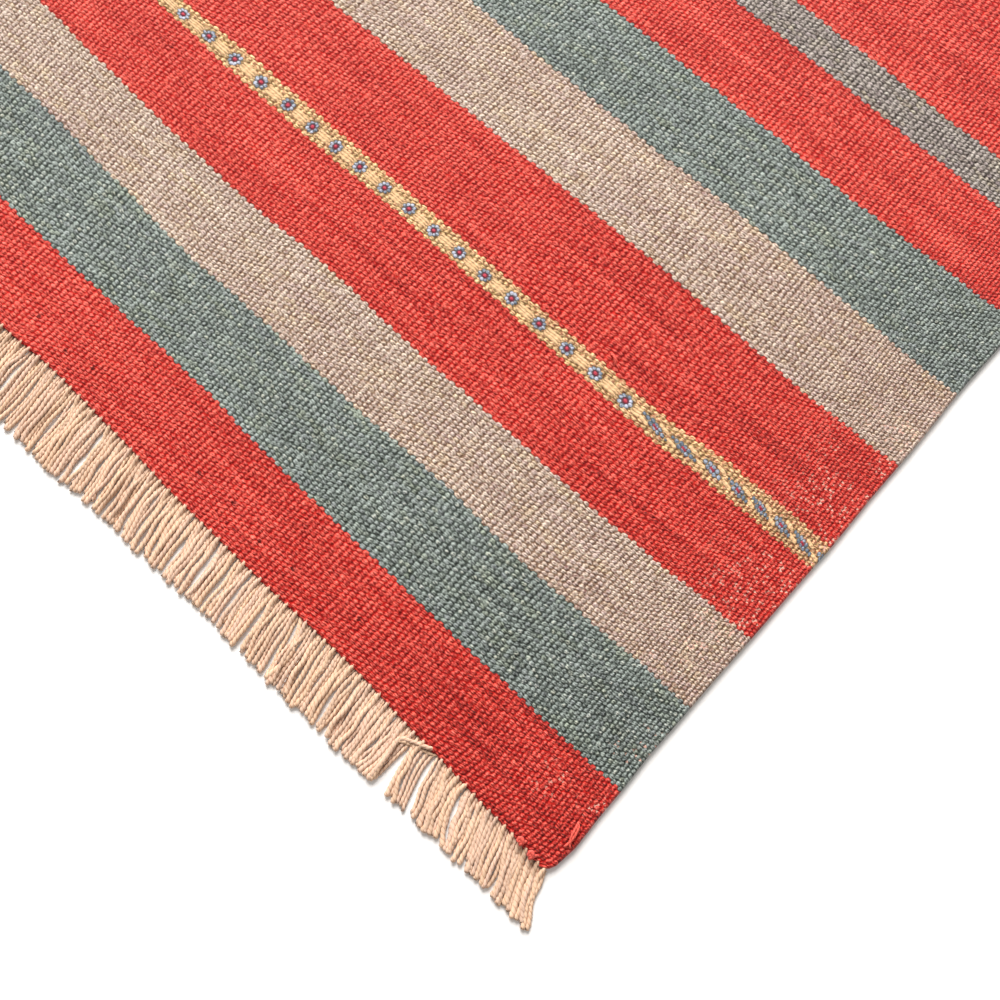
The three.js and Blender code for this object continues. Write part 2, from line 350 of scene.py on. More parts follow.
def cloth_material(name, low, high):
    """The weave between two weft numbers: beads of weft over the warps, in bands of colour."""
    t = Tree(name)
    c, w, _ = t.split(t.uv("weave"))
    # the beads don't lie on straight lines
    stray = t.noise_rgb(t.xyz(t.mul(c, 0.62), t.mul(w, 0.34)), 1.0, 0.5)
    c = t.mad(t.sub(stray[0], 0.5), 0.15, c)
    w = t.mad(t.sub(stray[1], 0.5), 0.50, w)

    # which bead of the rib itself, and which of the next rib, reach this point
    col = t.m("FLOOR", c)
    across = t.sub(t.sub(c, col), 0.5)
    step_to = t.m("SIGN", across)
    beads = []
    for column, dx in ((col, across), (t.add(col, step_to), t.sub(across, step_to))):
        parity = t.m("FLOORED_MODULO", column, 2.0)
        row = t.m("FLOOR", t.mul(t.add(w, parity), 0.5))
        weft = t.sub(t.mad(row, 2.0, 1.0), parity)
        r = t.scatter(t.xyz(column, weft))
        dx = t.add(dx, t.mad(r[0], 0.12, -0.06))
        dy = t.add(t.sub(w, weft), t.mad(r[1], 0.38, -0.19))
        dy = t.mad(dx, -0.26, dy)
        size = t.mad(r[2], 0.28, 0.82)
        ex = t.m("DIVIDE", dx, t.mul(size, 0.49))
        ey = t.m("DIVIDE", dy, t.mul(size, 0.96))
        h = t.sub(1.0, t.mad(ex, ex, t.mul(ey, ey)))
        beads.append((h, column, weft, ey))
    (h0, c0, w0, e0), (h1, c1, w1, e1) = beads
    other = t.m("GREATER_THAN", h1, h0)
    h = t.m("MAXIMUM", t.m("MAXIMUM", h0, h1), -0.35)
    bead_c, bead_w, bead_e = t.mixf(other, c0, c1), t.mixf(other, w0, w1), t.mixf(other, e0, e1)
    chance = t.scatter(t.xyz(t.add(bead_c, 31.7), bead_w))

    # the wool of that weft
    first = int(np.clip(np.searchsorted(WEFT_AT, low + 0.01, side="right") - 1, 0, len(WOOLS) - 1))
    last = int(np.clip(np.searchsorted(WEFT_AT, high + 2.0, side="right") - 1, 0, len(WOOLS) - 1))
    first = max(0, first - 1)
    wool = WOOL[WOOLS[first]]
    color = (*(v * GAIN for v in wool["color"]), 1.0)
    gap_shade, crest_highlight = (*wool["gap_shade"], 1.0), (*wool["crest_highlight"], 1.0)
    much = (wool["bead"], wool["streak"], wool["tint"], 1.0)
    figured = []
    if WOOLS[first] == "figured":
        figured.append(first)
    for i in range(first + 1, last + 1):
        wool = WOOL[WOOLS[i]]
        if WOOLS[i] == "figured":
            figured.append(i)
        there = t.m("GREATER_THAN", bead_w, float(WEFT_AT[i]))
        color = t.mixc(there, color, tuple(v * GAIN for v in wool["color"]))
        gap_shade = t.mixc(there, gap_shade, wool["gap_shade"])
        crest_highlight = t.mixc(there, crest_highlight, wool["crest_highlight"])
        much = t.mixc(there, much, (wool["bead"], wool["streak"], wool["tint"]))
    if not isinstance(much, bpy.types.NodeSocket):
        much = t.mixc(0.0, much, much)
    m_bead, m_streak, m_tint = t.split(much)
    if not isinstance(color, bpy.types.NodeSocket):
        color = t.mixc(0.0, color, color)

    # beads differ; each weft has its own streaks; the spinning and dyeing are uneven
    streak = t.noise(t.xyz(t.mul(bead_c, 0.021), t.mul(bead_w, 0.83)), 3.0, 0.6)
    cloud = t.noise(t.xyz(t.mul(bead_c, 0.06), t.mul(bead_w, 0.045)), 3.0, 0.6)
    fibre = t.noise(t.xyz(t.mad(w, 0.25, t.mul(c, 1.9)), t.mad(c, -0.5, t.mul(w, 1.55))), 0.0, 0.5)
    fibre = t.ramp(fibre, 0.28, 0.72, kind="LINEAR")
    # a doubled yarn shows a fine line between its two parts; the line is painted shade in the colour and a dent in the
    # bump
    parted = t.m("ABSOLUTE", t.mad(t.sub(chance[1], 0.5), 0.6, bead_e))
    parted = t.mul(t.ramp(parted, 0.36, 0.02), t.ramp(chance[0], 0.20, 0.55))
    fringe_side = t.m("MINIMUM", c, t.sub(float(RIBS), c))
    light = t.mad(t.sub(chance[0], 0.5), m_bead, 1.0)
    light = t.mad(t.sub(streak, 0.5), t.mul(m_streak, 1.45), light)
    drift = t.noise(t.xyz(t.mad(bead_c, 0.030, 7.0), t.mul(bead_w, 0.31)), 2.0, 0.5)
    light = t.mad(t.sub(drift, 0.5), t.mul(m_streak, 0.95), light)
    light = t.mad(t.sub(cloud, 0.5), 0.22, light)
    light = t.mad(t.sub(fibre, 0.5), t.mad(m_bead, 0.60, 0.42), light)
    # painted shade along the line between the two parts of a doubled yarn
    light = t.mad(parted, -0.34, light)
    # darker over the outer ribs at each selvedge; then painted shade, a broad darkening towards both selvedges, stands
    # in for the light falling off across the cloth
    light = t.mad(t.ramp(fringe_side, 22.0, 3.0), -0.05, light)
    light = t.mad(t.ramp(fringe_side, 120.0, 6.0), -0.09, light)
    # painted light and shade: the cloth is painted a little lighter away from its ends and darker in towards its
    # corners, as the light falls off across it
    end_side = t.m("MINIMUM", w, t.sub(float(WEFTS), w))
    light = t.mad(t.ramp(end_side, 255.0, 325.0), 0.04, light)
    light = t.mad(t.mul(t.ramp(end_side, 100.0, 10.0), t.ramp(fringe_side, 110.0, 8.0)), -0.10, light)
    red_c, green_c, _ = t.split(color)
    strong = t.m("MAXIMUM", t.mul(t.sub(red_c, green_c), 1.6), 0.0)
    light_gb = t.m("MAXIMUM", t.mad(t.sub(light, 1.0), strong, light), 0.2)
    warm = t.noise(t.xyz(t.mul(bead_c, 0.11), t.mad(bead_w, 0.17, 40.0)), 3.0, 0.7)
    cool = t.noise(t.xyz(t.mad(bead_c, 0.035, 9.0), t.mad(bead_w, 0.55, 3.0)), 3.0, 0.6)
    warm = t.mul(t.ramp(t.mad(t.sub(chance[1], 0.5), 0.14, warm), 0.50, 0.70), m_tint)
    cool = t.mul(t.ramp(t.mad(t.sub(chance[2], 0.5), 0.12, cool), 0.48, 0.68), m_tint)
    color = t.mixc(warm, color, t.times(color, (1.05, 1.03, 0.80)))
    color = t.mixc(cool, color, t.times(color, (0.92, 0.86, 0.97)))
    color = t.times(color, t.xyz(light, light_gb, light_gb))

    # pale neps, rare pinholes near the ends painted dark as the shade inside them, and pale warp between crowded beads
    nep = t.mul(t.m("GREATER_THAN", t.mad(t.sub(fibre, 0.5), 0.5, chance[1]), 0.985), t.ramp(m_bead, 0.38, 0.58))
    color = t.mixc(t.mul(nep, t.mul(t.ramp(h, 0.15, 0.7), 0.75)), color, tone(216, 212, 194, 0.85))
    dense = t.m("COMPARE", t.m("MINIMUM", w, t.sub(float(WEFTS), w)), 170.0, 72.0)
    crowded = t.mul(t.ramp(fringe_side, 24.0, 6.0), t.ramp(t.mad(dense, 0.16, cloud), 0.57, 0.65))
    # painted shade: the low places between the beads take the wool's darker gap colour
    between_bead_shade = t.ramp(t.mad(t.sub(fibre, 0.5), 0.40, h), 0.40, -0.28)
    spot = t.scatter(t.xyz(t.m("ROUND", c), t.m("FLOOR", t.mad(w, 1.0, 0.5))))
    shown = t.mul(t.m("GREATER_THAN", spot[0], 0.80), t.ramp(h, 0.28, -0.05))
    color = t.mixc(between_bead_shade, color, t.times(color, gap_shade))
    color = t.mixc(t.mul(t.mul(crowded, shown), 0.85), color, tone(238, 186, 166, 0.85))
    # painted highlight: the tops of the beads are lightened and paled
    color = t.mixc(t.ramp(h, 0.45, 1.0), color, t.times(color, crest_highlight))
    # painted shade: small dark spots for the pinholes near the ends
    for row_w in (13.5, WEFTS - 13.5):
        if low - 4 < row_w < high + 4:
            cell = t.m("FLOOR", t.mul(c, 0.25))
            luck = t.scatter(t.xyz(cell, 3.0))
            hx = t.mad(t.sub(t.mad(c, 0.25, -0.5), cell), 12.4, t.mad(luck[0], 6.0, -3.0))
            hy = t.mul(t.sub(w, t.mad(luck[2], 8.0, row_w - 4.0)), 1.14)
            hole = t.ramp(t.mad(t.sub(fibre, 0.5), 2.4, t.mad(hx, hx, t.mul(hy, hy))), 2.6, 0.4)
            hole = t.mul(hole, t.m("GREATER_THAN", luck[1], 0.74))
            color = t.mixc(t.mul(hole, 0.85), color, tone(84, 18, 14))

    # the figured bands: flowers of eight blue beads round a red one, three long floats between them
    for i in figured:
        inside = t.m("COMPARE", bead_w, float(WEFT_AT[i] + WEFT_AT[i + 1]) / 2, 5.4)
        v = t.mul(t.sub(w, float(WEFT_AT[i] + WEFT_AT[i + 1]) / 2), 1.18)
        chained = t.m("GREATER_THAN", c, SLIP_FROM)
        place = t.m("FLOORED_MODULO", t.sub(c, FLOWER_PHASE - 3.0), 6.0)
        x = t.mul(t.sub(place, 3.0), 3.0)
        r = t.m("SQRT", t.mad(x, x, t.mul(v, v)))
        turn = t.mul(t.m("ARCTAN2", v, x), 4 / math.pi)
        bloom = t.m("ROUND", t.mul(t.sub(t.sub(c, place), FLOWER_PHASE - 3.0), 1 / 6))
        dye = t.scatter(t.xyz(t.m("FLOORED_MODULO", t.m("ROUND", turn), 8.0), bloom))
        turn = t.mad(t.sub(dye[1], 0.5), 0.34, turn)
        off = t.mul(t.sub(turn, t.m("ROUND", turn)), math.pi / 4)
        ring = t.mad(dye[2], 0.50, 2.50)
        d2 = t.sub(t.mad(r, r, t.mul(ring, ring)), t.mul(t.mul(t.mul(r, 2.0), ring), t.m("COSINE", off)))
        petal = t.sub(1.0, t.m("DIVIDE", d2, t.mad(dye[0], 0.45, 0.84)))
        heart = t.sub(1.0, t.m("DIVIDE", t.mul(r, r), 1.02 * 1.02))
        # towards the selvedge the flowers are drawn out into slanting chains of beads
        q = t.mad(x, 0.20, v)
        link = t.m("ROUND", t.mul(x, 1 / 2.7))
        lx = t.m("DIVIDE", t.mad(link, -2.7, x), 1.30)
        single = t.m("GREATER_THAN", t.m("ABSOLUTE", link), 1.5)
        lq = t.m("DIVIDE", t.mixf(single, t.sub(t.m("ABSOLUTE", q), 1.0), q), 0.98)
        bead = t.sub(1.0, t.mad(lx, lx, t.mul(lq, lq)))
        bead = t.sub(bead, t.mul(t.m("GREATER_THAN", t.m("ABSOLUTE", link), 2.5), t.mul(dye[0], 2.0)))
        hx = t.m("DIVIDE", x, 1.6)
        hq = t.m("DIVIDE", q, 0.95)
        petal = t.mixf(chained, petal, bead)
        heart = t.mixf(chained, heart, t.sub(1.1, t.mad(hx, hx, t.mul(hq, hq))))
        flower = t.m("MAXIMUM", t.m("MAXIMUM", petal, heart), -0.3)
        blue = t.mixc(t.ramp(t.mad(t.sub(fibre, 0.5), 0.8, dye[0]), 0.1, 0.9), tone(120, 128, 142), tone(188, 189, 203))
        blue = t.mixc(t.mul(chained, 0.8), blue, t.mul_color(blue, (0.66, 0.72, 0.74)))
        rose = t.mixc(chained, (*tone(194, 70, 84), 1.0), tone(158, 54, 66))
        petal_color = t.mixc(t.m("GREATER_THAN", heart, petal), blue, rose)
        # painted shade in the low places between the beads of the flowers
        groove_shade = t.mixc(t.ramp(r, 1.1, 2.3), tone(100, 40, 54), tone(78, 86, 88))
        petal_color = t.mixc(t.ramp(flower, 0.58, 0.0), petal_color, groove_shade)
        fx = t.sub(t.m("ABSOLUTE", x), 9.0)
        lane = t.m("MINIMUM", t.m("MAXIMUM", t.m("ROUND", t.mul(v, 0.62)), -1.0), 1.0)
        fy = t.m("DIVIDE", t.mad(lane, -1.62, v), 0.90)
        fl = t.m("DIVIDE", fx, 4.7)
        fl = t.mul(t.mul(fl, fl), t.mul(fl, fl))
        float_h = t.sub(t.sub(1.0, t.mul(fy, fy)), fl)
        ax, aq = t.mul(t.sub(x, 4.2), 1 / 3.7), t.sub(q, 3.0)
        bx = t.add(x, 6.6)
        bx = t.mad(t.m("ROUND", t.mul(bx, 1 / 18)), -18.0, bx)
        bq = t.add(t.mad(t.sub(bx, 6.6), 0.20, v), 2.7)
        bx = t.mul(bx, 1 / 3.7)
        one = t.sub(t.sub(1.0, t.mul(aq, aq)), t.mul(t.mul(ax, ax), t.mul(ax, ax)))
        two = t.sub(t.sub(1.0, t.mul(bq, bq)), t.mul(t.mul(bx, bx), t.mul(bx, bx)))
        float_h = t.mixf(chained, float_h, t.m("MAXIMUM", one, two))
        float_color = t.mixc(t.ramp(t.noise(t.xyz(t.mul(c, 0.5), t.mul(v, 4.0)), 1.0), 0.35, 0.65),
                             tone(216, 172, 124), tone(231, 190, 146))
        # painted shade along the edges of the floats
        float_color = t.mixc(t.ramp(float_h, 0.50, -0.15), float_color, tone(130, 100, 66))
        on_float = t.mul(inside, t.m("GREATER_THAN", float_h, -0.12))
        middle = t.mixf(chained, t.m("LESS_THAN", r, 2.4), t.m("LESS_THAN", t.mad(hx, hx, t.mul(q, q)), 1.0))
        on_flower = t.mul(inside, t.m("MAXIMUM", t.m("GREATER_THAN", flower, -0.16), middle))
        olive = t.mul(inside, t.mul(t.ramp(t.m("ABSOLUTE", v), 5.6, 4.4), t.ramp(chance[2], 0.30, 0.75)))
        color = t.mixc(t.mul(olive, 0.50), color, t.mul_color(color, (0.50, 0.58, 0.50)))
        around = t.mixf(chained, t.ramp(r, 4.9, 3.9), t.mul(t.ramp(t.m("ABSOLUTE", q), 3.2, 2.2), t.ramp(t.m("ABSOLUTE", x), 8.0, 6.6)))
        beside = t.mul(t.mul(inside, around), t.ramp(t.mad(t.sub(fibre, 0.5), 1.2, chance[1]), 0.25, 0.7))
        color = t.mixc(t.mul(beside, 0.75), color, t.mul_color(color, (0.42, 0.48, 0.58)))
        color = t.mixc(on_float, color, float_color)
        color = t.mixc(on_flower, color, petal_color)
        h = t.mixf(on_float, h, float_h)
        h = t.mixf(on_flower, h, flower)

    height = t.mad(parted, -0.30, t.mad(fibre, 0.45, h))
    normal = t.bump(height, 0.00035, 1.0)
    return t.finish(color, normal, 0.88, 0.12, specular=0.16)


Tree.mul_color = Tree.times


def cord_material(name, color, groove_shade):
    """Two-ply cotton cord: the plies wind round the strand with its own edges, and the grooves between them are painted
    with shade.
    """
    t = Tree(name)
    around, along, _ = t.split(t.uv("strand"))
    chance = t.scatter(t.xyz(t.m("FLOOR", t.mul(along, 0.01)), 5.0))
    f = t.sub(t.m("FRACT", t.mad(around, 2.0, 0.5)), 0.5)
    h = t.sub(1.0, t.mul(t.mul(f, f), 4.0))
    fibre = t.noise(t.xyz(t.mad(along, 0.5, t.mul(around, 16.0)), t.mul(along, 0.9)), 2.0, 0.6)
    wear = t.noise(t.xyz(t.mul(chance[2], 40.0), t.mul(along, 0.16)), 2.0, 0.5)
    base = t.mixc(t.ramp(chance[0], 0.0, 1.0, kind="LINEAR"), tuple(v * 0.90 for v in color), tuple(v * 1.06 for v in color))
    base = t.times(base, t.mixc(chance[1], (1.02, 1.0, 0.94, 1.0), (0.99, 0.98, 1.03, 1.0)))
    base = t.scale(base, t.mad(fibre, 0.40, t.mad(wear, 0.22, 0.71)))
    # painted shade in the grooves between the plies
    base = t.mixc(t.ramp(h, 0.60, 0.05), base, t.times(base, groove_shade))
    normal = t.bump(t.mad(fibre, 0.6, h), 0.00017, 1.0)
    return t.finish(base, normal, 0.85, 0.12)


# ---------------------------------------------------------------- the cloth
def far_phase():
    """The warp count at the middle of one flower of the near figured band."""
    xs = lay_x(MEAN_X, np.full_like(MEAN_X, -559.0))
    middle, last = float(np.interp(188.7, xs, QUARTERS)), float(np.interp(384.0, xs, QUARTERS))
    return middle, middle - 3 + 6 * round((last - middle + 3) / 6)


FLOWER_PHASE, SLIP_FROM = far_phase()


def panel_rows(low, high):
    """Y stations of one strip. The strips at the ends have more, close to the first and last weft."""
    rows = list(np.linspace(low, high, ROWS + 1))
    near = [0.0, 0.35, 1.1, 2.6, 5.5]
    if low <= -WOVEN_LENGTH / 2 + 1:
        rows = [low + d for d in near] + rows[1:]
    if high >= WOVEN_LENGTH / 2 - 1:
        rows = rows[:-1] + [high - d for d in near[::-1]]
    return np.array(rows)


def cloth_points(mean, count, y):
    """X, Y, lift and height profile of a row of the cloth at station y."""
    x = lay_x(mean, np.full_like(mean, y))
    end = -1 if y < 0 else 1
    bow = soft(END_BOW, "near" if end < 0 else "far", x)
    from_end = WOVEN_LENGTH / 2 - abs(y)
    yy = y + end * bow * (1 - smooth(0, 70, from_end))
    # the last weft passes over every other warp, so the end is toothed
    yy = yy + end * 0.35 * np.cos(np.pi * (count - 0.5)) * (1 - smooth(0, 2.5, from_end)) * (end < 0 or 1)
    lift = LIFT * np.clip(0.5 + 0.6 * swell(21, x, yy), 0, 1) ** 1.5
    edge = np.minimum(np.minimum(count, RIBS - count) * 2.4, from_end)
    lift = lift * (0.25 + 0.75 * smooth(0, 60, edge))
    rib = np.abs(np.sin(np.pi * count))
    own = np.sin(np.floor(np.clip(count, 0, RIBS - 1e-6)) * 12.9898) * 43758.5453
    own = (own - np.floor(own) - 0.5) * 0.12 * rib
    return x, yy, lift, rib, own, from_end


def cloth_panel(index):
    low = -WOVEN_LENGTH / 2 + index * WOVEN_LENGTH / PANELS
    high = low + WOVEN_LENGTH / PANELS
    rows = panel_rows(low, high)
    top_c, bottom_c = QUARTERS, QUARTERS[::2]
    top_x, bottom_x = MEAN_X, MEAN_X[::2]
    nt, nb = len(top_c), len(bottom_c)
    points, weave = [], []
    top_at, bottom_at = np.zeros((len(rows), nt), int), np.zeros((len(rows), nb), int)
    for j, y in enumerate(rows):
        for upper, mean, count, at in ((True, top_x, top_c, top_at), (False, bottom_x, bottom_c, bottom_at)):
            x, yy, lift, rib, own, from_end = cloth_points(mean, count, y)
            inward = np.minimum(count, RIBS - count)
            # rims: rounded at the selvedges over the outer rib, and at the ends over the outer weft
            side_round = np.sqrt(np.clip(1 - (1 - np.clip(inward / 0.5, 0, 1)) ** 2, 0, 1))
            end_round = math.sqrt(max(0.0, 1 - (1 - min(1.0, from_end / 1.1)) ** 2)) if from_end < 1.1 else 1.0
            half = CLOTH_THICK / 2
            thick = half * side_round * (0.12 + 0.88 * end_round)
            cord = 0.30 * np.exp(-((inward - 0.75) / 0.7) ** 2)
            relief = (rib - 1) * RIB * side_round * end_round
            if upper:
                z = half + lift + thick + relief + own * side_round + cord * side_round * end_round
            else:
                z = half + lift - thick - relief - own * side_round * 0.5
                z = np.maximum(z, 0.0)
            number = weft_number(x, yy)
            start = len(points) and sum(len(p) for p in points)
            ids = np.arange(start, start + len(x))
            block = np.stack([x, yy, z], 1)
            data = np.stack([count, number, yy], 1)
            if not upper:  # the selvedges' own points are shared with the top
                ids = np.concatenate([[top_at[j, 0]], np.arange(start, start + len(x) - 2), [top_at[j, -1]]])
                block, data = block[1:-1], data[1:-1]
            points.append(block)
            weave.append(data)
            at[j] = ids
    points, weave = np.concatenate(points), np.concatenate(weave)

    faces = []
    a, b = top_at[:-1, :-1], top_at[:-1, 1:]
    d, c = top_at[1:, :-1], top_at[1:, 1:]
    faces += np.stack([a, b, c, d], -1).reshape(-1, 4).tolist()
    a, b = bottom_at[:-1, :-1], bottom_at[:-1, 1:]
    d, c = bottom_at[1:, :-1], bottom_at[1:, 1:]
    faces += np.stack([d, c, b, a], -1).reshape(-1, 4).tolist()
    walls = []
    for row, outward in ((0, -1), (len(rows) - 1, 1)):
        tr, br = top_at[row], bottom_at[row]
        for k in range(nb - 1):
            loop = [br[k], br[k + 1], tr[2 * k + 2], tr[2 * k + 1], tr[2 * k]]
            loop = [int(v) for n, v in enumerate(loop) if v not in loop[:n]]
            faces.append(loop if outward < 0 else loop[::-1])
        at_end = (row == 0 and index == 0) or (row > 0 and index == PANELS - 1)
        if not at_end:
            walls.append(set(tr.tolist()) | set(br.tolist()))

    name = f"woven_ground_{index + 1:02d}"
    mesh = bpy.data.meshes.new(name)
    mesh.from_pydata((points * MM).tolist(), [], faces)
    mesh.polygons.foreach_set("use_smooth", [True] * len(faces))
    # the strips join on flat faces, so shading doesn't round over there
    if walls:
        ends = np.zeros((len(mesh.edges), 2), int)
        flat = np.zeros(len(mesh.edges) * 2, np.int32)
        mesh.edges.foreach_get("vertices", flat)
        ends = flat.reshape(-1, 2)
        sharp = np.zeros(len(mesh.edges), bool)
        for wall in walls:
            inside = np.zeros(len(points), bool)
            inside[list(wall)] = True
            sharp |= inside[ends].all(1)
        attribute = mesh.attributes.new("sharp_edge", "BOOLEAN", "EDGE")
        attribute.data.foreach_set("value", sharp)

    verts = np.zeros(len(mesh.loops), np.int32)
    mesh.loops.foreach_get("vertex_index", verts)
    starts = np.zeros(len(mesh.polygons), np.int32)
    totals = np.zeros(len(mesh.polygons), np.int32)
    mesh.polygons.foreach_get("loop_start", starts)
    mesh.polygons.foreach_get("loop_total", totals)
    face_of = np.repeat(np.arange(len(totals)), totals)
    middle = np.bincount(face_of, weave[verts, 0]) / totals
    third = RIBS / 3
    strip = np.clip(np.floor(middle / third), 0, 2)[face_of]
    y0, y1 = points[:, 1].min(), points[:, 1].max()
    u = (weave[verts, 0] - strip * third) / third
    v = (points[verts, 1] - y0) / (y1 - y0)
    bake = np.stack([0.004 + 0.992 * u, (strip + 0.012 + 0.976 * v) / 3], 1)
    for title, data in (("OFBake", bake), ("weave", weave[verts, :2])):
        layer = mesh.uv_layers.new(name=title)
        layer.data.foreach_set("uv", data.astype(np.float32).ravel())
    mesh.uv_layers.active = mesh.uv_layers["OFBake"]
    mesh.validate()
    piece = bpy.data.objects.new(name, mesh)
    bpy.context.scene.collection.objects.link(piece)
    mesh.materials.append(cloth_material(name, float(weave[:, 1].min()), float(weave[:, 1].max())))
    return piece


# ---------------------------------------------------------------- the fringe
SIDES, RINGS, UNDER_RINGS = 6, 41, 21
FLAT = 0.74               # a strand lying on the floor is a little flatter than wide


def strand_path(end, count, seed, under):
    """Centre line of one warp end: from inside the last weft, out over the floor to its cut."""
    rng = np.random.default_rng(seed)
    mean = float(np.interp(count, QUARTERS, MEAN_X))
    x0 = float(lay_x(np.array([mean]), np.array([end * WOVEN_LENGTH / 2 * 0.998]))[0])
    key = "near" if end < 0 else "far"
    y0 = end * (WOVEN_LENGTH / 2 + float(soft(END_BOW, key, x0)))
    over = int(count) % 2 == 0 and not under
    inset = 2.0 if over else 0.6
    x0 += rng.uniform(0.9, 1.9) if under else 0.0
    lean = float(soft(FRINGE, key + "_lean", x0))
    cut = float(soft(FRINGE, key + "_cut", x0)) + rng.normal(0, 0.6) - (rng.uniform(0, 3.0) if under else 0.0)
    tip_y = end * (WOVEN_LENGTH / 2 + min(cut, 35.5))
    t = np.linspace(0, 1, UNDER_RINGS if under else RINGS)
    clump = wander(300 + end, np.array([x0]), 1.3, ((13, 0.5), (29, 0.3), (7, 0.2)))[0]
    sway = rng.normal(0, 0.80)
    bend = wander(400 + end, np.array([x0]), 1.3, ((60, 0.5), (23, 0.5)))[0] + rng.normal(0, 0.45)
    if rng.random() < 0.14:          # some strands wander more
        bend += rng.normal(0, 2.2)
    # here the strands part, and two of those on one side loop back over them to the other
    if end < 0 and x0 < 421.8:
        lean -= 8.0 * float(smooth(398, 420, x0))
    curl = 1.0 if end < 0 and not under and 428.2 < x0 < 434.8 else 0.0
    x = (lean + clump + sway) * t ** 1.15 + bend * np.sin(np.pi * t)
    x = x0 + (1 - curl) * x + curl * ((3.5 + sway) * smooth(0.3, 1, t) - (x0 - 417.0) * smooth(0, 0.36, t))
    x = x + rng.uniform(0.15, 0.60) * np.sin(2 * np.pi * (t * rng.uniform(1.0, 2.4) + rng.random())) * smooth(0, 0.3, t)
    # a curling strand runs along the edge first and turns down late
    run = t + curl * (0.30 * t * t - 0.30 * t)
    y = y0 - end * inset + (tip_y - y0 + end * inset) * run
    out = np.abs(y) - abs(y0)
    if over:
        z = FLAT * CORD_RADIUS + 0.05 + 1.35 * (1 - smooth(-0.4, 6.5, out)) - 0.7 * (1 - smooth(-2.0, -0.9, out))
    else:
        z = FLAT * CORD_RADIUS + 0.02 + 0.1 * (1 - smooth(-0.5, 3.0, out))
    if under:
        z = z * 0 + FLAT * UNDER_RADIUS
        return np.stack([x, y, z], 1), rng
    ride_up = min(2.0, abs(rng.normal(0.0, 0.7)) + 2.0 * curl) * smooth(0.15, 0.5, t) * (1 - 0.75 * smooth(0.75, 1.0, t))
    return np.stack([x, y, z + ride_up], 1), rng


def fringe_piece(name, end, counts, material):
    strands = [(count, under) for count in counts for under in (False, True)]
    across = 17
    down = math.ceil(len(strands) / across)
    points, faces, strand_uv, bake_uv = [], [], [], []
    for n, (count, under) in enumerate(strands):
        path, rng = strand_path(end, count, 5000 + int(count) + (0 if end < 0 else 3000) + 9000 * under, under)
        rings = len(path)
        ahead = np.gradient(path, axis=0)
        ahead /= np.linalg.norm(ahead, axis=1)[:, None]
        right = np.cross(ahead, [0, 0, 1.0])
        right /= np.linalg.norm(right, axis=1)[:, None]
        up = np.cross(right, ahead)
        along = np.concatenate([[0], np.cumsum(np.linalg.norm(np.diff(path, axis=0), axis=1))])
        radius = (UNDER_RADIUS if under else CORD_RADIUS) * rng.uniform(0.88, 1.08) * np.ones(rings)
        left = along[-1] - along
        radius *= 1 + 0.14 * np.exp(-((left - 1.6) / 1.6) ** 2) - 0.24 * np.exp(-(left / 0.5) ** 2)
        radius *= 1 - 0.34 * np.exp(-(along / 2.4) ** 2)
        base = sum(len(p) for p in points)
        phase = rng.random() * 2 * np.pi
        ring = []
        for i in range(SIDES):
            angle = 2 * np.pi * i / SIDES
            wind = angle + phase + 2 * np.pi * along / PLY_TURN
            r = radius * (1.14 if i % 3 == 0 else 0.89)
            ring.append(path + (right * np.cos(wind)[:, None] + up * FLAT * np.sin(wind)[:, None]) * r[:, None])
        ring = np.stack(ring, 1).reshape(-1, 3)
        ring[:, 2] = np.maximum(ring[:, 2], 0.03)
        points.append(np.concatenate([ring, [path[0] - ahead[0] * 0.2, path[-1] + ahead[-1] * 0.25]]))
        j, i = np.meshgrid(np.arange(rings - 1), np.arange(SIDES), indexing="ij")
        a, b = base + j * SIDES + i, base + j * SIDES + (i + 1) % SIDES
        quads = np.stack([a, b, b + SIDES, a + SIDES], -1).reshape(-1, 4)
        faces += quads.tolist()
        ua, ub = (i / SIDES).ravel(), ((i + 1) / SIDES).ravel()
        va, vb = along[j].ravel(), along[j + 1].ravel()
        uv = np.stack([ua, va, ub, va, ub, vb, ua, vb], 1).reshape(-1, 2)
        first, final = base + rings * SIDES, base + rings * SIDES + 1
        caps_uv = []
        for k in range(SIDES):
            faces.append([base + (k + 1) % SIDES, base + k, first])
            caps_uv += [[(k + 1) / SIDES, 0], [k / SIDES, 0], [(k + 0.5) / SIDES, 0]]
            tip = base + (rings - 1) * SIDES
            faces.append([tip + k, tip + (k + 1) % SIDES, final])
            caps_uv += [[k / SIDES, along[-1]], [(k + 1) / SIDES, along[-1]], [(k + 0.5) / SIDES, along[-1]]]
        uv = np.concatenate([uv, np.array(caps_uv, float)])
        cell_x, cell_y = n % across, n // across
        bake_uv.append(np.stack([(cell_x + 0.03 + 0.94 * uv[:, 0]) / across,
                                 (cell_y + 0.02 + 0.96 * uv[:, 1] / along[-1]) / down], 1))
        strand_uv.append(np.stack([uv[:, 0], uv[:, 1] + 100.0 * n], 1))
    mesh = bpy.data.meshes.new(name)
    mesh.from_pydata((np.concatenate(points) * MM).tolist(), [], faces)
    mesh.polygons.foreach_set("use_smooth", [True] * len(faces))
    for title, data in (("OFBake", np.concatenate(bake_uv)), ("strand", np.concatenate(strand_uv))):
        layer = mesh.uv_layers.new(name=title)
        layer.data.foreach_set("uv", data.astype(np.float32).ravel())
    mesh.uv_layers.active = mesh.uv_layers["OFBake"]
    mesh.materials.append(material)
    piece = bpy.data.objects.new(name, mesh)
    bpy.context.scene.collection.objects.link(piece)
    return piece


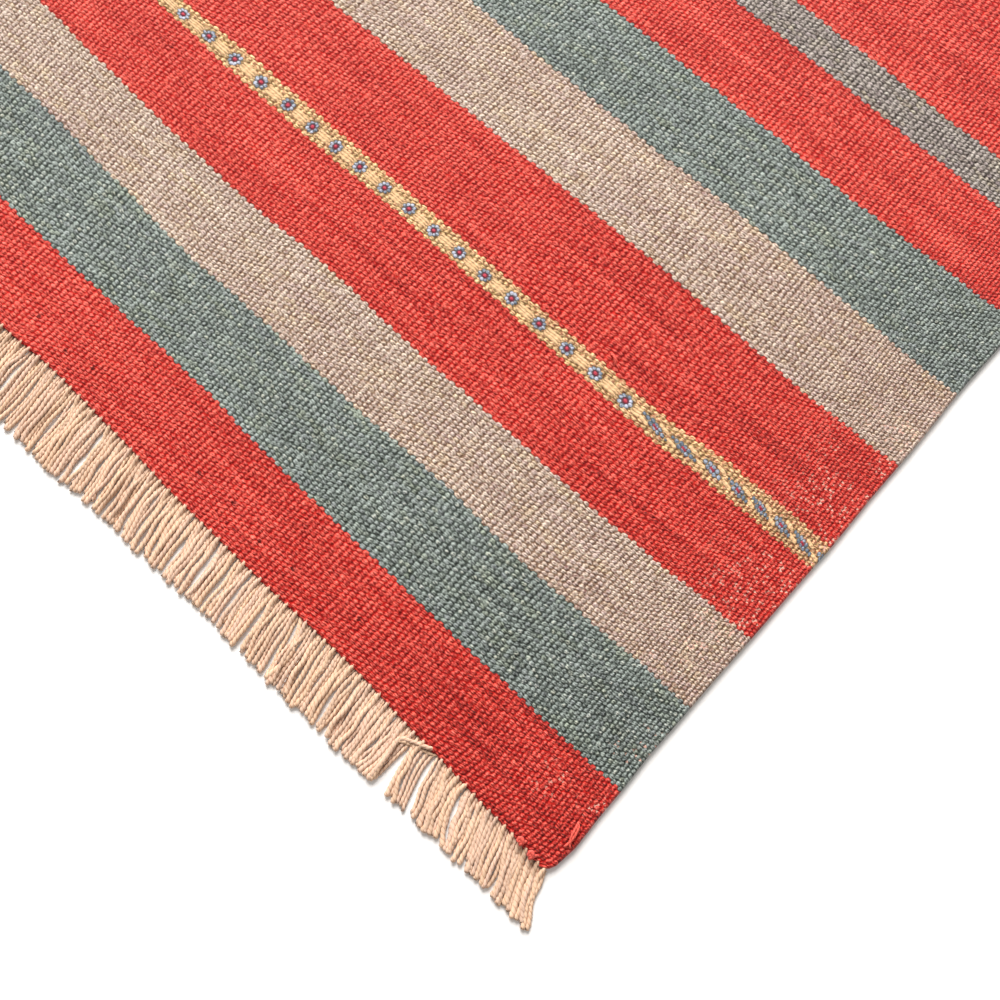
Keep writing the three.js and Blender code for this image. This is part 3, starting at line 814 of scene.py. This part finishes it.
# Loose ends of red weft: two small knots on the last weft, a snag in the cloth, and a doubled end at the corner.
LOOSE = {
    "knot_a": [(490.4, -748.8, 3.3), (489.0, -750.2, 4.4), (487.4, -751.2, 4.0), (486.7, -749.9, 4.1), (488.3, -749.3, 5.0), (489.6, -750.7, 4.5), (488.6, -752.2, 3.9)],
    "knot_b": [(498.0, -750.0, 3.2), (496.5, -751.2, 4.4), (494.9, -752.4, 4.0), (494.3, -751.0, 4.3), (495.7, -750.4, 5.0), (496.9, -751.9, 4.4), (495.8, -753.6, 3.7)],
    "snag": [(357.9, -547.4, 2.9), (359.3, -547.5, 3.9), (360.9, -548.2, 4.3), (362.3, -549.3, 3.9), (363.3, -550.6, 3.0)],
    "end_a": [(501.2, -726.4, 2.9), (501.9, -728.2, 4.0), (502.5, -731.0, 4.5), (503.3, -733.8, 4.2), (504.6, -736.0, 3.7), (506.2, -737.7, 3.2)],
    "end_b": [(501.8, -726.9, 2.9), (503.0, -728.6, 3.9), (503.9, -731.2, 4.2), (504.3, -733.6, 4.1), (504.4, -736.3, 3.8), (503.8, -738.9, 3.5)],
}


def loose_yarn(name, material):
    points, faces, strand_uv, bake_uv = [], [], [], []
    for n, (title, route) in enumerate(LOOSE.items()):
        route = np.array(route)
        rings = 7 * len(route)
        t = np.linspace(0, len(route) - 1, rings)
        path = np.stack([np.interp(t, np.arange(len(route)), route[:, k]) for k in range(3)], 1)
        for _ in range(6):
            path[1:-1] = (path[:-2] + 2 * path[1:-1] + path[2:]) / 4
        ahead = np.gradient(path, axis=0)
        ahead /= np.linalg.norm(ahead, axis=1)[:, None]
        right = np.cross(ahead, [0.1, 0.05, 1.0])
        right /= np.linalg.norm(right, axis=1)[:, None]
        up = np.cross(right, ahead)
        along = np.concatenate([[0], np.cumsum(np.linalg.norm(np.diff(path, axis=0), axis=1))])
        radius = 0.95 if title.startswith("knot") else 0.62
        radius = radius * (1 - 0.45 * np.exp(-(along / 0.5) ** 2) - 0.45 * np.exp(-((along[-1] - along) / 0.6) ** 2))
        base = sum(len(p) for p in points)
        ring = []
        for i in range(8):
            wind = 2 * np.pi * (i / 8 + along / 4.2)
            ring.append(path + (right * np.cos(wind)[:, None] + up * np.sin(wind)[:, None])
                        * (radius * (1.14 if i % 4 == 0 else 0.96))[:, None])
        points.append(np.concatenate([np.stack(ring, 1).reshape(-1, 3), path[:1], path[-1:]]))
        for j in range(rings - 1):
            for i in range(8):
                k = (i + 1) % 8
                faces.append([base + j * 8 + i, base + j * 8 + k, base + j * 8 + 8 + k, base + j * 8 + 8 + i])
                for u, v in ((i, j), (i + 1, j), (i + 1, j + 1), (i, j + 1)):
                    strand_uv.append((u / 8, along[v] + 100 * n))
                    bake_uv.append(((n + 0.05 + 0.9 * u / 8) / 5, 0.02 + 0.96 * v / (rings - 1)))
        for start, centre, turn in ((base, base + rings * 8, 1), (base + (rings - 1) * 8, base + rings * 8 + 1, -1)):
            for i in range(8):
                faces.append([start + (i + 1) % 8, start + i, centre][::turn])
                for u in (i + 1, i, i + 0.5)[::turn]:
                    strand_uv.append((u / 8, (0 if turn > 0 else along[-1]) + 100 * n))
                    bake_uv.append(((n + 0.05 + 0.9 * u / 8) / 5, 0.01 if turn > 0 else 0.99))
    mesh = bpy.data.meshes.new(name)
    mesh.from_pydata((np.concatenate(points) * MM).tolist(), [], faces)
    mesh.polygons.foreach_set("use_smooth", [True] * len(faces))
    for title, data in (("OFBake", bake_uv), ("strand", strand_uv)):
        layer = mesh.uv_layers.new(name=title)
        layer.data.foreach_set("uv", np.array(data, np.float32).ravel())
    mesh.uv_layers.active = mesh.uv_layers["OFBake"]
    mesh.materials.append(material)
    piece = bpy.data.objects.new(name, mesh)
    bpy.context.scene.collection.objects.link(piece)
    return piece


# ---------------------------------------------------------------- camera, floor, light
def look(name, data, place, target):
    o = bpy.data.objects.new(name, data)
    o.location = place
    o.rotation_mode = "QUATERNION"
    o.rotation_quaternion = (Vector(target) - Vector(place)).to_track_quat("-Z", "Y")
    bpy.context.scene.collection.objects.link(o)
    return o


def studio():
    target = Vector((0.3708, -0.6417, CLOTH_THICK * MM))
    azimuth, elevation, distance = math.radians(43.886), math.radians(72.263), 0.60625
    back = Vector((math.sin(azimuth) * math.cos(elevation), -math.cos(azimuth) * math.cos(elevation), math.sin(elevation)))
    lens = bpy.data.cameras.new("camera")
    lens.lens, lens.sensor_width, lens.clip_start = 45.0, 36.0, 0.01
    bpy.context.scene.camera = look("camera", lens, target + back * distance, target)

    bpy.ops.mesh.primitive_plane_add(size=60.0, location=(0, 0, -0.0002))
    floor = bpy.context.object
    floor.name = "floor"
    t = Tree("pale_floor")
    grain = t.noise(t.scale(t.uv("UVMap"), 3900.0), 2.0)
    floor.data.materials.append(t.finish(t.mixc(t.ramp(grain, 0.3, 0.7), tone(240, 237, 234), tone(244, 241, 238)),
                                         None, 0.7, 0.0))

    key = bpy.data.lights.new("key", "POINT")
    key.energy, key.shadow_soft_size = 5140.0, 2.92
    look("key", key, (-4.82, 3.51, 4.67), (0.25, -0.55, 0.0)).visible_camera = False
    world = bpy.data.worlds.new("studio")
    world.use_nodes = True
    world.node_tree.nodes["Background"].inputs[0].default_value = (1.0, 0.985, 0.965, 1.0)
    world.node_tree.nodes["Background"].inputs[1].default_value = 0.50
    bpy.context.scene.world = world
    bpy.context.scene.view_settings.view_transform = "Standard"


# ---------------------------------------------------------------- build
studio()
panels = [cloth_panel(i) for i in range(PANELS)]
near_cotton = cord_material("warp_cotton_near", tone(222, 187, 160), (0.74, 0.62, 0.54))
far_cotton = cord_material("warp_cotton_far", tone(222, 187, 160), (0.74, 0.62, 0.54))
ribs = np.arange(RIBS) + 0.5
half_way = RIBS // 2
fringes = [
    fringe_piece("fringe_near_left", -1, ribs[:half_way], near_cotton),
    fringe_piece("fringe_near_right", -1, ribs[half_way:], near_cotton),
    fringe_piece("fringe_far_left", 1, ribs[:half_way], far_cotton),
    fringe_piece("fringe_far_right", 1, ribs[half_way:], far_cotton),
]
loose = loose_yarn("loose_red_weft", cord_material("loose_red_wool", tone(238, 100, 86), (0.66, 0.34, 0.28)))
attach(loose, "root")
for piece in panels:
    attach(piece, "root")
    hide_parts("woven_ground")
for piece in fringes:
    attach(piece, "root")
    near_end = "near" in piece.name
    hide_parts("fringe_near_end" if near_end else "fringe_far_end")
